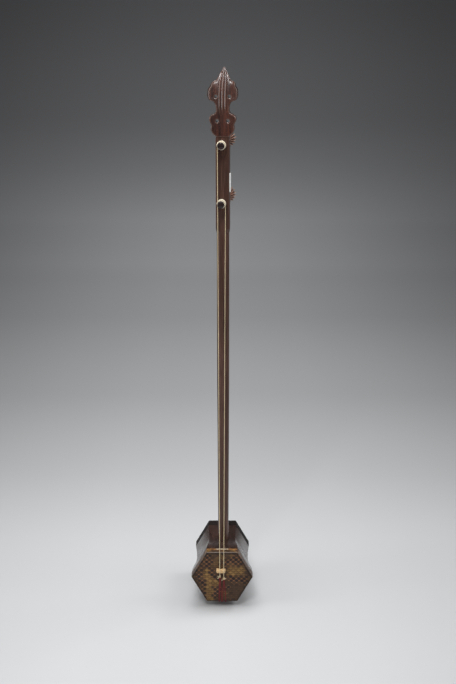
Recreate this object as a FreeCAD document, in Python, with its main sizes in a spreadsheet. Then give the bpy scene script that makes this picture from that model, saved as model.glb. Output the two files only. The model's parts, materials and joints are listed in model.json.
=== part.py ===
"""Two-string bowed spike fiddle with a hexagonal sound box, as separate named pieces.

Frame: millimetres, +Z up along the neck, -Y to the front (the snakeskin face), +X to the right.
The origin is the centre of the foot of the tail stub, on the neck's axis.
"""

import FreeCAD, Part
import math
import os
import re
import Sketcher

Vector = FreeCAD.Vector
Rotation = FreeCAD.Rotation
Placement = FreeCAD.Placement

# alias, value in millimetres (degrees for neck_twist), meaning
DRIVING_SIZES = [
    ("total_height", 790, "foot of the stub to the tip of the head"),
    ("neck_twist", 4.4, "turn of the neck, seen from above, against the sound box"),
    ("stub_radius", 6.5, "tail stub below the sound box"),
    ("base_radius", 7.8, "round neck where it enters the sound box"),
    ("shaft_radius", 8.9, "round neck below the flat section"),
    ("taper_top", 330, "height where the round neck reaches shaft_radius"),
    ("flat_start", 558, "height where the flat section starts"),
    ("stop_length", 10, "height of the curved stops above flat_start"),
    ("flat_width", 19.2, "flat section, side to side"),
    ("flat_depth", 18, "flat section, front to back"),
    ("head_joint", 694, "height where the carved head sits on the neck"),
    ("tenon_width", 9, "tenon that joins the head to the neck"),
    ("tenon_length", 14, "tenon that joins the head to the neck"),
    ("head_width", 42.4, "widest lobes of the head"),
    ("head_depth", 16, "thickness of the head at its foot"),
    ("head_tip_depth", 7, "thickness of the head at its tip"),
    ("head_hole_radius", 2, "drilled eyes of the head"),
    ("upper_hole_height", 750, "upper pair of eyes"),
    ("upper_hole_offset", 9.4, "upper pair of eyes, from the centre line"),
    ("lower_hole_height", 716.5, "lower pair of eyes"),
    ("lower_hole_offset", 7.6, "lower pair of eyes, from the centre line"),
    ("ridge_pitch", 4.2, "spacing of the three raised ridges"),
    ("ridge_width", 2.2, "width of a ridge"),
    ("ridge_height", 0.7, "how far a ridge stands out"),
    ("ridge_start", 734, "lower end of the ridges"),
    ("ridge_end", 779, "upper end of the ridges"),
    ("box_clearance", 9.4, "underside of the sound box above the origin"),
    ("box_shift", 1.7, "sound box left of the neck's axis"),
    ("box_front_apothem", 39.8, "centre to flat of the front hexagon"),
    ("box_waist_apothem", 34, "centre to flat at the waist"),
    ("box_rear_apothem", 36.3, "centre to flat where the rim starts"),
    ("box_half_length", 63, "half of the length of the wooden box"),
    ("waist_shift", 3, "waist behind the neck's axis"),
    ("shoulder_radius", 122.5, "radius of the two bends between front and waist"),
    ("stave_thickness", 5.6, "wall of the sound box"),
    ("skin_thickness", 0.8, "snakeskin"),
    ("skin_wrap", 13, "how far the skin wraps over the sides"),
    ("rim_length", 18, "moulding at the open rear end"),
    ("rim_proud", 0.3, "how far the moulding stands out"),
    ("rim_recess", 1.5, "depth of the seat that the moulding sits in"),
    ("bridge_width", 14.2, "bridge, side to side"),
    ("bridge_thickness", 4.8, "bridge, along the strings"),
    ("bridge_height", 7.3, "bridge, out from the skin"),
    ("bridge_crown", 0.5, "how far the bridge's front bulges"),
    ("bridge_arch", 2, "radius of the arch cut through the bridge's foot"),
    ("bridge_centre", 60.9, "height of the bridge"),
    ("bridge_shift", 3.5, "bridge left of the centre line"),
    ("string_radius", 0.6, "silk string"),
    ("left_string_exit", 5.6, "left string's distance from the upper peg's axis"),
    ("right_string_exit", 5.8, "right string's distance from the lower peg's axis"),
    ("string_start", 12, "where the strings leave their windings, behind the pegs' front ends"),
    ("string_gap", 0.35, "gap between a string's upper end and its winding"),
    ("left_string_shift", 5.1, "left string at the bridge, left of the centre line"),
    ("right_string_shift", 0.8, "right string at the bridge, right of the centre line"),
    ("left_knot_height", 53, "left string's knot"),
    ("right_knot_height", 49.5, "right string's knot"),
    ("knot_radius", 1.8, "knot at the end of a string"),
    ("tie_radius", 0.7, "silk tie strand"),
    ("binding_radius", 8.6, "silk binding round the stub, outside"),
    ("binding_start", 2.2, "lower end of the binding"),
    ("binding_length", 4.6, "height of the binding"),
    ("upper_peg_height", 684, "axis of the upper peg"),
    ("lower_peg_height", 602, "axis of the lower peg"),
    ("peg_shift", 0.9, "peg bores left of the neck's centre line"),
    ("peg_length", 127, "whole peg"),
    ("peg_front", 30, "front end of the peg, in front of the neck's axis"),
    ("peg_knob_radius", 5.1, "knob at the peg's front end"),
    ("peg_knob_length", 3.4, "knob at the peg's front end"),
    ("peg_tip_radius", 3.8, "peg between its knob and the neck"),
    ("bore_radius", 5.2, "peg bore through the neck"),
    ("bore_clearance", 0.05, "radial clearance of the peg in its bore"),
    ("peg_gap", 0.4, "gap between the neck's back and the peg's head"),
    ("peg_stem_radius", 6.2, "peg's stem where it leaves the neck's back"),
    ("peg_stem_end", 80, "end of the stem, behind the peg's front end"),
    ("peg_foot_radius", 5.4, "narrow end of the peg's fluted head"),
    ("peg_head_radius", 13.8, "wide end of the peg's fluted head"),
    ("peg_dome", 7, "length of the rounded end of the peg's fluted head"),
    ("peg_button_radius", 8.5, "flat end of the peg's fluted head"),
    ("winding_radius", 6.6, "string wound on the peg, outside"),
    ("winding_start", 7.2, "winding behind the peg's front end"),
    ("winding_length", 12.6, "length of the winding"),
    ("label_bottom", 617, "lower edge of the paper label"),
    ("label_height", 27, "paper label"),
    ("label_width", 16, "paper label"),
    ("label_thickness", 0.3, "paper label"),
]

doc = FreeCAD.newDocument("spike_fiddle")
sheet = doc.addObject("Spreadsheet::Sheet", "Sizes")
for row, (alias, number, meaning) in enumerate(DRIVING_SIZES, start=1):
    sheet.set(f"A{row}", meaning)
    sheet.set(f"B{row}", str(number))
    sheet.setAlias(f"B{row}", alias)
doc.recompute()

ALIAS = re.compile(r"\b(" + "|".join(alias for alias, _, _ in DRIVING_SIZES) + r")\b")
ROOT_THREE = "1.7320508"
BOX_AXIS = "(box_clearance + box_front_apothem)"
FLUTE_COUNT = 18
FLUTE_HOLLOW = 0.22  # radius of a flute's hollow as a share of the peg head's radius
NODES = []


# ---------------------------------------------------------------- helpers

def cell(text):
    """Expression text with every alias pointed at the sheet."""
    return ALIAS.sub(r"Sizes.\1", text)


def size(text):
    """Present value of an expression in the sheet's aliases."""
    return float(sheet.evalExpression(cell(text)))


def bind(obj, **expressions):
    for name, text in expressions.items():
        obj.setExpression(name, cell(text))


def keep(obj, label):
    """Register obj as a sub-part under its node name."""
    obj.Label = label
    NODES.append(obj)
    return obj


def new_body(label):
    return keep(doc.addObject("PartDesign::Body", label), label)


def new_sketch(body, name, role, offset="0"):
    """Sketch on one of the body's own origin planes, moved along its normal by offset."""
    sketch = body.newObject("Sketcher::SketchObject", name)
    plane = next(item for item in body.Origin.OriginFeatures if item.Role == role)
    sketch.AttachmentSupport = [(plane, "")]
    sketch.MapMode = "FlatFace"
    if offset != "0":
        sketch.setExpression("AttachmentOffset.Base.z", cell(offset))
    return sketch


def constrain_to(sketch, kind, axis, edge, end, text):
    """Hold one coordinate of a point to an expression, or to the axis where it is zero."""
    if text == "0":
        sketch.addConstraint(Sketcher.Constraint("PointOnObject", edge, end, axis))
        return
    index = sketch.addConstraint(Sketcher.Constraint(kind, -1, 1, edge, end, size(text)))
    sketch.setExpression(f"Constraints[{index}]", cell(text))


def draw_outline(sketch, corners, arcs=None):
    """Closed outline through corners, given as pairs of expressions.

    arcs maps the index of an edge to (radius expression, bulge), where bulge is +1 for an arc
    that bows to the left of its direction of travel and -1 for one that bows to the right.
    """
    arcs = arcs or {}
    points = [Vector(size(x), size(y), 0) for x, y in corners]
    count = len(points)
    edges = []
    for index, start in enumerate(points):
        end = points[(index + 1) % count]
        if index in arcs:
            radius, bulge = arcs[index]
            chord = end - start
            half = chord.Length / 2
            sagitta = size(radius) - math.sqrt(size(radius) ** 2 - half ** 2)
            left = Vector(-chord.y, chord.x, 0).normalize()
            geometry = Part.Arc(start, (start + end) / 2 + left * (bulge * sagitta), end)
        else:
            geometry = Part.LineSegment(start, end)
        edges.append(sketch.addGeometry(geometry, False))
        if index in arcs:
            held = sketch.addConstraint(Sketcher.Constraint("Radius", edges[-1], size(radius)))
            sketch.setExpression(f"Constraints[{held}]", cell(radius))
    for index, (x_text, y_text) in enumerate(corners):
        here = (edges[index], nearest_end(sketch, edges[index], points[index]))
        before = (edges[index - 1], nearest_end(sketch, edges[index - 1], points[index]))
        sketch.addConstraint(Sketcher.Constraint("Coincident", *before, *here))
        constrain_to(sketch, "DistanceX", -2, *here, x_text)
        constrain_to(sketch, "DistanceY", -1, *here, y_text)


def nearest_end(sketch, edge, point):
    """1 where the edge starts at the point, 2 where it ends there."""
    return min((1, 2), key=lambda end: (sketch.getPoint(edge, end) - point).Length)


def draw_circle(sketch, x_text, y_text, radius):
    centre = Vector(size(x_text), size(y_text), 0)
    circle = Part.Circle(centre, Vector(0, 0, 1), size(radius))
    edge = sketch.addGeometry(circle, False)
    held = sketch.addConstraint(Sketcher.Constraint("Radius", edge, size(radius)))
    sketch.setExpression(f"Constraints[{held}]", cell(radius))
    constrain_to(sketch, "DistanceX", -2, edge, 3, x_text)
    constrain_to(sketch, "DistanceY", -1, edge, 3, y_text)


def draw_hexagon(sketch, apothem):
    """Hexagon with flat top and bottom about the sketch's origin."""
    corner = f"(2 * ({apothem}) / {ROOT_THREE})"
    flat = f"({apothem})"
    draw_outline(sketch, [
        (corner, "0"), (f"{corner} / 2", flat), (f"-{corner} / 2", flat),
        (f"-{corner}", "0"), (f"-{corner} / 2", f"-{flat}"), (f"{corner} / 2", f"-{flat}"),
    ])


def draw_rectangle(sketch, left, right, low, high):
    draw_outline(sketch, [(left, low), (right, low), (right, high), (left, high)])


def feature(body, kind, name, sketch, **expressions):
    made = body.newObject(f"PartDesign::{kind}", name)
    made.Profile = sketch
    bind(made, **expressions)
    sketch.Visibility = False
    return made


def pad(body, name, sketch, length, both_ways=False, reverse=False):
    made = feature(body, "Pad", name, sketch, Length=length)
    made.SideType = "Symmetric" if both_ways else "One side"
    made.Reversed = reverse
    return made


def pocket(body, name, sketch, length=None, both_ways=False, reverse=False):
    """Cut by a length, or right through where none is given. Fails if nothing is cut."""
    doc.recompute()
    before = body.Shape.Volume
    made = feature(body, "Pocket", name, sketch)
    made.SideType = "Symmetric" if both_ways else "One side"
    if length is None:
        made.Type = "ThroughAll"
    else:
        bind(made, Length=length)
    made.Reversed = reverse
    doc.recompute()
    if body.Shape.Volume > before - 0.01:
        raise RuntimeError(f"{body.Label}: {name} cuts nothing")
    return made


def loft(body, name, first, last):
    made = feature(body, "AdditiveLoft", name, first)
    made.Sections = [last]
    made.Ruled = True
    return made


def revolve(body, name, sketch):
    made = feature(body, "Revolution", name, sketch)
    made.ReferenceAxis = (sketch, ["V_Axis"])
    made.Angle = 360
    return made


def turned(x, y, z):
    """Point of the twisted neck group, in the object's frame."""
    return TWIST.multVec(Vector(x, y, z))


def ball(name, centre, radius):
    """Sphere with its poles and seam turned away from the cord that runs into it."""
    made = doc.addObject("Part::Sphere", name)
    bind(made, Radius=radius)
    made.Placement = Placement(centre, Rotation(Vector(1, 1, 0), 70))
    return made


def strand(name, points, radius):
    """Round cord swept along straight runs, with mitred corners."""
    route = doc.addObject("Part::Polygon", f"{name}_route")
    route.Nodes = points
    section = doc.addObject("Part::Circle", f"{name}_section")
    bind(section, Radius=radius)
    section.Placement = Placement(points[0], Rotation(Vector(0, 0, 1), points[1] - points[0]))
    swept = doc.addObject("Part::Sweep", name)
    swept.Sections = [section]
    swept.Spine = (route, [f"Edge{index}" for index in range(1, len(points))])
    swept.Solid = True
    swept.Transition = "Right corner"
    return swept


def fuse(label, pieces):
    made = doc.addObject("Part::MultiFuse", label)
    made.Shapes = pieces
    return keep(made, label)


TWIST = Rotation(Vector(0, 0, 1), -size("neck_twist"))
TWISTED = Placement(Vector(0, 0, 0), TWIST)
BOX_PLACE = Placement(Vector(-size("box_shift"), 0, size(BOX_AXIS)), Rotation())


# ---------------------------------------------------------------- neck and head

def make_neck():
    body = new_body("neck")
    profile = new_sketch(body, "neck_profile", "XZ_Plane")
    corner_radius = "(flat_width * 0.73)"
    floor_inside = f"({BOX_AXIS} - box_waist_apothem + stave_thickness)"
    above_box = f"({BOX_AXIS} + box_waist_apothem + stave_thickness)"
    draw_outline(profile, [
        ("0", "0"),
        ("stub_radius", "0"),
        ("stub_radius", floor_inside),
        ("base_radius", floor_inside),
        ("base_radius", above_box),
        ("shaft_radius", "taper_top"),
        ("shaft_radius", "flat_start"),
        (corner_radius, "flat_start + stop_length"),
        (corner_radius, "head_joint"),
        ("0", "head_joint"),
    ])
    revolve(body, "neck_turned", profile)
    around = new_sketch(body, "flat_section", "XY_Plane", "flat_start")
    draw_rectangle(around, "-2 * flat_width", "2 * flat_width", "-2 * flat_depth", "2 * flat_depth")
    draw_rectangle(around, "-flat_width / 2", "flat_width / 2", "-flat_depth / 2", "flat_depth / 2")
    pocket(body, "flats", around, "head_joint", reverse=True)
    bores = new_sketch(body, "peg_bores", "XZ_Plane")
    for height in ("upper_peg_height", "lower_peg_height"):
        draw_circle(bores, "-peg_shift", height, "bore_radius")
    pocket(body, "bored", bores, both_ways=True)
    tenon = new_sketch(body, "tenon_outline", "XY_Plane", "head_joint")
    half = "tenon_width / 2"
    draw_rectangle(tenon, f"-{half}", half, f"-{half}", half)
    pad(body, "tenon", tenon, "tenon_length")
    body.Placement = TWISTED


def head_outline():
    """Corners of the head's silhouette, and the arcs between them, right side then left."""
    tall = "(total_height - head_joint)"
    # share of head_width from the centre line, share of the head's height above the joint,
    # and for an arc to the next point its radius and the side that it bows to
    right_side = [
        (0.2075, 0.000, ("0.20 * head_width", -1)),
        (0.3850, 0.115, None),
        (0.3720, 0.160, ("0.20 * head_width", -1)),
        (0.3000, 0.320, None),
        (0.2240, 0.340, None),
        (0.2240, 0.420, ("0.20 * head_width", 1)),
        (0.3200, 0.505, None),
        (0.4400, 0.520, ("0.14 * head_width", -1)),
        (0.5000, 0.585, None),
        (0.5000, 0.655, None),
        (0.3900, 0.730, ("0.12 * head_width", -1)),
        (0.3000, 0.790, None),
        (0.2200, 0.815, ("1.00 * head_width", 1)),
        (0.0450, 1.000, None),
    ]
    corners = []
    arcs = {}
    for across, up, arc in right_side:
        if arc:
            arcs[len(corners)] = arc
        corners.append((f"{across} * head_width", f"head_joint + {up} * {tall}"))
    count = len(right_side)
    for index in reversed(range(count)):
        across, up, _ = right_side[index]
        # the mirrored edge from point index to point index - 1 repeats the arc that starts at index - 1
        if index and right_side[index - 1][2]:
            arcs[len(corners)] = right_side[index - 1][2]
        corners.append((f"-{across} * head_width", f"head_joint + {up} * {tall}"))
    return corners, arcs


def add_ridge(body, side):
    """Raised ridge up the sloping front; side is -1, 0 or 1 for left, middle and right."""
    def front(height):
        share = f"(({height}) - ridge_start) / (total_height + 1 - ridge_start)"
        return f"(-head_depth / 2 + {share} * (head_depth / 2 - head_tip_depth * 0.1))"

    side_view = new_sketch(body, f"ridge_side_{side + 1}", "YZ_Plane",
                           f"{side} * ridge_pitch - ridge_width / 2")
    low = "ridge_start"
    high = f"(ridge_end - {abs(side)} * ridge_pitch)"
    draw_outline(side_view, [
        (f"{front(low)} + ridge_width", low),
        (f"{front(low)} - ridge_height", low),
        (f"{front(high)} - ridge_height", high),
        (f"{front(high)} + ridge_width", high),
    ])
    pad(body, f"ridge_{side + 1}", side_view, "ridge_width")


def make_head():
    body = new_body("carved_head")
    plan = new_sketch(body, "head_outline", "XZ_Plane")
    corners, arcs = head_outline()
    draw_outline(plan, corners, arcs)
    pad(body, "head_block", plan, "head_depth", both_ways=True)
    slopes = new_sketch(body, "head_side", "YZ_Plane")
    foot = "(head_depth / 2)"
    tip_front = "(head_tip_depth * 0.1)"
    draw_outline(slopes, [
        (f"-{foot}", "ridge_start"),
        (f"-{tip_front}", "total_height + 1"),
        (f"-2 * {foot}", "total_height + 1"),
        (f"-2 * {foot}", "ridge_start"),
    ])
    pocket(body, "front_slope", slopes, both_ways=True)
    for side in (-1, 0, 1):
        add_ridge(body, side)
    eyes = new_sketch(body, "eyes", "XZ_Plane")
    for side in ("-", ""):
        draw_circle(eyes, f"{side}upper_hole_offset", "upper_hole_height", "head_hole_radius")
        draw_circle(eyes, f"{side}lower_hole_offset", "lower_hole_height", "head_hole_radius")
    pocket(body, "eyes_drilled", eyes, both_ways=True)
    mortise = new_sketch(body, "mortise_outline", "XY_Plane", "head_joint")
    half = "tenon_width / 2"
    draw_rectangle(mortise, f"-{half}", half, f"-{half}", half)
    pocket(body, "mortise", mortise, "tenon_length", reverse=True)
    body.Placement = TWISTED


# ---------------------------------------------------------------- sound box

def make_stave(label, turn, bore=None, bore_place="0"):
    """One of the six mitred staves, turned about the box's axis; bore is its neck hole."""
    body = new_body(label)
    side = new_sketch(body, f"{label}_side", "YZ_Plane")
    front = "-box_half_length"
    wrap_end = "(skin_wrap - box_half_length)"
    rim_start = "(box_half_length - rim_length)"
    seat = "(box_front_apothem - skin_thickness)"
    middle = "(box_front_apothem + box_waist_apothem) / 2"
    bend = f"(({wrap_end} + waist_shift) / 2)"
    draw_outline(side, [
        (front, "box_front_apothem - stave_thickness - skin_thickness"),
        (front, seat),
        (wrap_end, seat),
        (wrap_end, "box_front_apothem"),
        (bend, middle),
        ("waist_shift", "box_waist_apothem"),
        (rim_start, "box_rear_apothem"),
        (rim_start, "box_rear_apothem - rim_recess"),
        ("box_half_length", "box_rear_apothem - rim_recess"),
        ("box_half_length", "box_rear_apothem - stave_thickness"),
        ("waist_shift", "box_waist_apothem - stave_thickness"),
    ], {3: ("shoulder_radius", 1), 4: ("shoulder_radius", -1), 5: ("4.3 * shoulder_radius", -1)})
    pad(body, f"{label}_plank", side, "2 * box_front_apothem", both_ways=True)
    mitres = new_sketch(body, f"{label}_mitres", "XZ_Plane")
    reach = "box_front_apothem"
    draw_outline(mitres, [
        ("0", "0"),
        (f"-{reach}", f"{reach} * {ROOT_THREE}"),
        (f"-{reach}", "-stave_thickness"),
        (reach, "-stave_thickness"),
        (reach, f"{reach} * {ROOT_THREE}"),
    ])
    pocket(body, f"{label}_mitred", mitres, both_ways=True)
    if bore:
        hole = new_sketch(body, f"{label}_bore", "XY_Plane")
        draw_circle(hole, bore_place, "0", bore)
        pocket(body, f"{label}_bored", hole, reverse=True)
    body.Placement = BOX_PLACE.multiply(Placement(Vector(0, 0, 0), Rotation(Vector(0, 1, 0), turn)))


def make_hexagon_ring(label, rear, length, outer, inner, floor=None):
    """Hexagonal ring from the plane y = rear forwards; floor leaves a closed front that thick."""
    body = new_body(label)
    outside = new_sketch(body, f"{label}_outside", "XZ_Plane", f"-({rear})")
    draw_hexagon(outside, outer)
    pad(body, f"{label}_block", outside, length)
    inside = new_sketch(body, f"{label}_inside", "XZ_Plane", f"-({rear})")
    draw_hexagon(inside, inner)
    depth = f"{length} - {floor}" if floor else f"2 * ({length})"
    pocket(body, f"{label}_hollow", inside, depth, reverse=True)
    body.Placement = BOX_PLACE
    return body


def make_sound_box():
    staves = [
        ("top_stave", 0, "base_radius", "box_shift"),
        ("upper_right_stave", 60),
        ("lower_right_stave", 120),
        ("bottom_stave", 180, "stub_radius", "-box_shift"),
        ("lower_left_stave", 240),
        ("upper_left_stave", 300),
    ]
    for stave in staves:
        make_stave(*stave)
    make_hexagon_ring("rear_rim", "box_half_length", "rim_length",
                      "box_rear_apothem + rim_proud", "box_rear_apothem - rim_recess")
    make_hexagon_ring("snakeskin", "skin_wrap - box_half_length", "(skin_wrap + skin_thickness)",
                      "box_front_apothem", "box_front_apothem - skin_thickness", "skin_thickness")


# ---------------------------------------------------------------- bridge, strings and ties

SKIN_FACE = "(box_half_length + skin_thickness)"


def make_bridge():
    body = new_body("bridge")
    side = new_sketch(body, "bridge_side", "YZ_Plane")
    half = "bridge_thickness / 2"
    flank = f"-({SKIN_FACE} + bridge_height - bridge_crown)"
    crown_radius = "(bridge_thickness * bridge_thickness / (8 * bridge_crown) + bridge_crown / 2)"
    draw_outline(side, [
        (f"-{SKIN_FACE}", f"-{half}"),
        (flank, f"-{half}"),
        (flank, half),
        (f"-{SKIN_FACE}", half),
    ], {1: (crown_radius, 1)})
    pad(body, "bridge_block", side, "bridge_width", both_ways=True)
    arch = new_sketch(body, "bridge_arch", "XY_Plane")
    draw_circle(arch, "0", f"-{SKIN_FACE}", "bridge_arch")
    pocket(body, "bridge_arched", arch, both_ways=True)
    body.Placement = Placement(Vector(-size("bridge_shift"), 0, size("bridge_centre")), Rotation())


def make_string(label, side, peg_height, knot_height):
    """Taut string from just under its winding, over the bridge, to its knot."""
    away = size(f"{label}_exit")
    clear_drop = math.sqrt(size("winding_radius + string_gap + string_radius") ** 2 - away ** 2)
    top = turned(side * away - size("peg_shift"), size("string_start - peg_front"),
                 size(peg_height) - clear_drop)
    shift = f"{label}_shift"
    crest = Vector(side * size(shift), -size(f"{SKIN_FACE} + bridge_height + string_radius"),
                   size("bridge_centre"))
    edge = Vector(side * size(shift), -size(f"{SKIN_FACE} + tie_radius"), size("box_clearance"))
    knot_share = (crest.z - size(knot_height)) / (crest.z - edge.z)
    knot = crest + (edge - crest) * knot_share
    cord = strand(f"{label}_cord", [top, crest, knot], "string_radius")
    fuse(label, [cord, ball(f"{label}_knot", knot, "knot_radius")])
    return knot


def make_tie(label, side, knot, edge_places):
    """Two silk strands from a string's knot, round the box's lower front edge, to the stub."""
    below = size("box_clearance - tie_radius - 0.3")
    before = size(f"{SKIN_FACE} + tie_radius + 0.25")
    landing = size("binding_start + binding_length / 2")
    pieces = []
    for index, place in enumerate(edge_places):
        start = knot + Vector((place - knot.x) * 0.08, 0, -size("knot_radius"))
        corner = Vector(place, -before, below)
        foot = Vector(side * size("stub_radius") / 2, -size("binding_radius") - 0.1, landing)
        pieces.append(strand(f"{label}_{index}", [start, corner, foot], "tie_radius"))
    fuse(label, pieces)


def make_strings():
    left_knot = make_string("left_string", -1, "upper_peg_height", "left_knot_height")
    right_knot = make_string("right_string", 1, "lower_peg_height", "right_knot_height")
    make_tie("left_tail_tie", -1, left_knot, (-6.1, -2.5))
    make_tie("right_tail_tie", 1, right_knot, (-0.7, 3.8))


def make_tail_binding():
    body = new_body("tail_binding")
    ring = new_sketch(body, "binding_ring", "XY_Plane", "binding_start")
    draw_circle(ring, "0", "0", "binding_radius")
    draw_circle(ring, "0", "0", "stub_radius")
    pad(body, "binding", ring, "binding_length")


# ---------------------------------------------------------------- pegs and their windings

def peg_place(height):
    """The peg's own +Z, from its front end to its head, laid along the turned neck's +Y."""
    start = turned(-size("peg_shift"), -size("peg_front"), size(height))
    return Placement(start, TWIST.multiply(Rotation(Vector(1, 0, 0), -90)))


def make_peg(label, height):
    body = new_body(label)
    profile = new_sketch(body, f"{label}_profile", "XZ_Plane")
    shoulder = "(peg_front - flat_depth / 2 - peg_gap)"
    stem_start = "(peg_front + flat_depth / 2 + peg_gap)"
    journal = "(bore_radius - bore_clearance)"
    draw_outline(profile, [
        ("0", "0"),
        ("peg_knob_radius", "0"),
        ("peg_knob_radius", "peg_knob_length"),
        ("peg_tip_radius", "peg_knob_length"),
        ("peg_tip_radius", shoulder),
        (journal, shoulder),
        (journal, stem_start),
        ("peg_stem_radius", stem_start),
        ("peg_foot_radius * 0.8", "peg_stem_end"),
        ("0", "peg_stem_end"),
    ])
    revolve(body, f"{label}_shaft", profile)
    dome_start = "(peg_length - peg_dome)"
    foot = fluted_section(body, f"{label}_foot", "peg_stem_end", "peg_foot_radius")
    wide_end = fluted_section(body, f"{label}_wide_end", dome_start, "peg_head_radius")
    button = fluted_section(body, f"{label}_button", "peg_length", "peg_button_radius")
    loft(body, f"{label}_cone", foot, wide_end)
    loft(body, f"{label}_dome", wide_end, button)
    body.Placement = peg_place(height)


def fluted_section(body, name, along, radius):
    """Outline with FLUTE_COUNT ridges at equal angles and a hollow between each pair of ridges."""
    section = new_sketch(body, name, "XY_Plane", along)
    corners = []
    for index in range(FLUTE_COUNT):
        turn = 2 * math.pi * index / FLUTE_COUNT
        corners.append((f"{math.cos(turn):.7f} * {radius}", f"{math.sin(turn):.7f} * {radius}"))
    hollows = {index: (f"{FLUTE_HOLLOW} * {radius}", 1) for index in range(FLUTE_COUNT)}
    draw_outline(section, corners, hollows)
    return section


def make_winding(label, height):
    body = new_body(label)
    ring = new_sketch(body, f"{label}_ring", "XY_Plane", "winding_start")
    draw_circle(ring, "0", "0", "winding_radius")
    draw_circle(ring, "0", "0", "peg_tip_radius")
    pad(body, f"{label}_tube", ring, "winding_length")
    body.Placement = peg_place(height)


def make_pegs():
    for place in ("upper", "lower"):
        make_peg(f"{place}_peg", f"{place}_peg_height")
        make_winding(f"{place}_winding", f"{place}_peg_height")


def make_label():
    made = keep(doc.addObject("Part::Box", "collection_label"), "collection_label")
    bind(made, Length="label_thickness", Width="label_width", Height="label_height")
    corner = turned(size("flat_width / 2"), -size("label_width / 2"), size("label_bottom"))
    made.Placement = Placement(corner, TWIST)


# ---------------------------------------------------------------- build, test, write

def check_document():
    """Stop if any object failed to recompute or any sub-part's shape is unsound."""
    for obj in doc.Objects:
        bad = [word for word in obj.State if word in ("Invalid", "Error")]
        if bad:
            raise RuntimeError(f"{obj.Label} is {bad}")
    for node in NODES:
        if node.Shape.isNull() or not node.Shape.isValid():
            raise RuntimeError(f"{node.Label} has no valid shape")


def write_nodes():
    os.makedirs("parts", exist_ok=True)
    for node in NODES:
        node.Shape.exportStep(f"parts/{node.Label}.step")
        box = node.Shape.BoundBox
        print(f"{node.Label:20s} {len(node.Shape.Solids)} solid(s) {node.Shape.Volume / 1000:8.2f} cm3 "
              f"x {box.XMin:7.2f} {box.XMax:7.2f} y {box.YMin:7.2f} {box.YMax:7.2f} "
              f"z {box.ZMin:7.2f} {box.ZMax:7.2f}")


make_neck()
make_head()
make_sound_box()
make_bridge()
make_strings()
make_tail_binding()
make_pegs()
make_label()
doc.recompute()
check_document()
write_nodes()
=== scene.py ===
import json
import math

import bmesh
import bpy
import numpy as np
from mathutils import Matrix, Vector


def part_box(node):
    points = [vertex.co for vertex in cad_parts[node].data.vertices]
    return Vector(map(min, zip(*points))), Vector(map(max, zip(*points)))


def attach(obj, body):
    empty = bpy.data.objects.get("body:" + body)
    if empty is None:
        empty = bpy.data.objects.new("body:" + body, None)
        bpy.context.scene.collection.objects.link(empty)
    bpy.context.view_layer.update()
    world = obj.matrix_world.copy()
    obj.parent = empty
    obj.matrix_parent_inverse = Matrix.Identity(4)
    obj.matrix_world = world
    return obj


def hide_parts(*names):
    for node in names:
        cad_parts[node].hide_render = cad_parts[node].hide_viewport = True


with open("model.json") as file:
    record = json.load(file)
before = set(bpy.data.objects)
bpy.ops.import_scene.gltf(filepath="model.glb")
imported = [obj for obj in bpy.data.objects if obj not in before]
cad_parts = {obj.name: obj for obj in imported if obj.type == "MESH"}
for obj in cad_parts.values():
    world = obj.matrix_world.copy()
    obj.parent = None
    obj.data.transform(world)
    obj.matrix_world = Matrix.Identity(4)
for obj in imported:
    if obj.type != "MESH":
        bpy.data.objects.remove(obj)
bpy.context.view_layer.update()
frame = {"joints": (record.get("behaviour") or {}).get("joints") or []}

MM = 0.001
JOINTS = {joint["name"]: joint for joint in frame["joints"]}

# ---- sizes, in millimetres

UPPER_AXIS = JOINTS["upper_peg_turn"]["axis"]
NECK_TURN = math.atan2(UPPER_AXIS[0], UPPER_AXIS[1])
UPPER_PEG_Z = JOINTS["upper_peg_turn"]["pos_m"][2] / MM
LOWER_PEG_Z = JOINTS["lower_peg_turn"]["pos_m"][2] / MM


def node_box(node):
    low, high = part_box(node)
    return np.array(low) / MM, np.array(high) / MM


SKIN_LOW, SKIN_HIGH = node_box("snakeskin")
RIM_LOW, RIM_HIGH = node_box("rear_rim")
BRIDGE_LOW, BRIDGE_HIGH = node_box("bridge")
HEAD_LOW, HEAD_HIGH = node_box("carved_head")
LABEL_LOW, LABEL_HIGH = node_box("collection_label")
BINDING_LOW, BINDING_HIGH = node_box("tail_binding")

BOX_X = (SKIN_LOW[0] + SKIN_HIGH[0]) / 2
BOX_Z = (SKIN_LOW[2] + SKIN_HIGH[2]) / 2
SKIN_FRONT = SKIN_LOW[1]
WRAP_END = SKIN_HIGH[1]
BOX_CENTRE = Vector((BOX_X * MM, 0, BOX_Z * MM))
FRONT_APOTHEM = (SKIN_HIGH[2] - SKIN_LOW[2]) / 2
REAR = RIM_HIGH[1]
RIM_START = RIM_LOW[1]
RIM_APOTHEM = (RIM_HIGH[2] - RIM_LOW[2]) / 2
SKIN_THICKNESS = 0.8
FOLD_RADIUS = 1.3
SKIN_CORNER = 1.4
BOX_FRONT = -63.0
WAIST_APOTHEM = 34.0
WAIST_Y = 3.0
REAR_APOTHEM = 36.3
RIM_RECESS = 1.5
STAVE_THICKNESS = 5.6
FRONT_WALL = 6.4         # stave and skin together

STUB_RADIUS = 6.5
BASE_RADIUS = 7.8
SHAFT_RADIUS = 8.9
TAPER_TOP = 330.0
FLAT_START = 558.0
STOP_LENGTH = 10.0
FLAT_WIDTH = 19.2
FLAT_DEPTH = 18.0
FLAT_CORNER = FLAT_WIDTH * 0.665
HEAD_JOINT = HEAD_LOW[2]
HEAD_TOP = HEAD_HIGH[2]
HEAD_WIDTH = 42.4
BORE_RADIUS = 5.2

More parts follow.
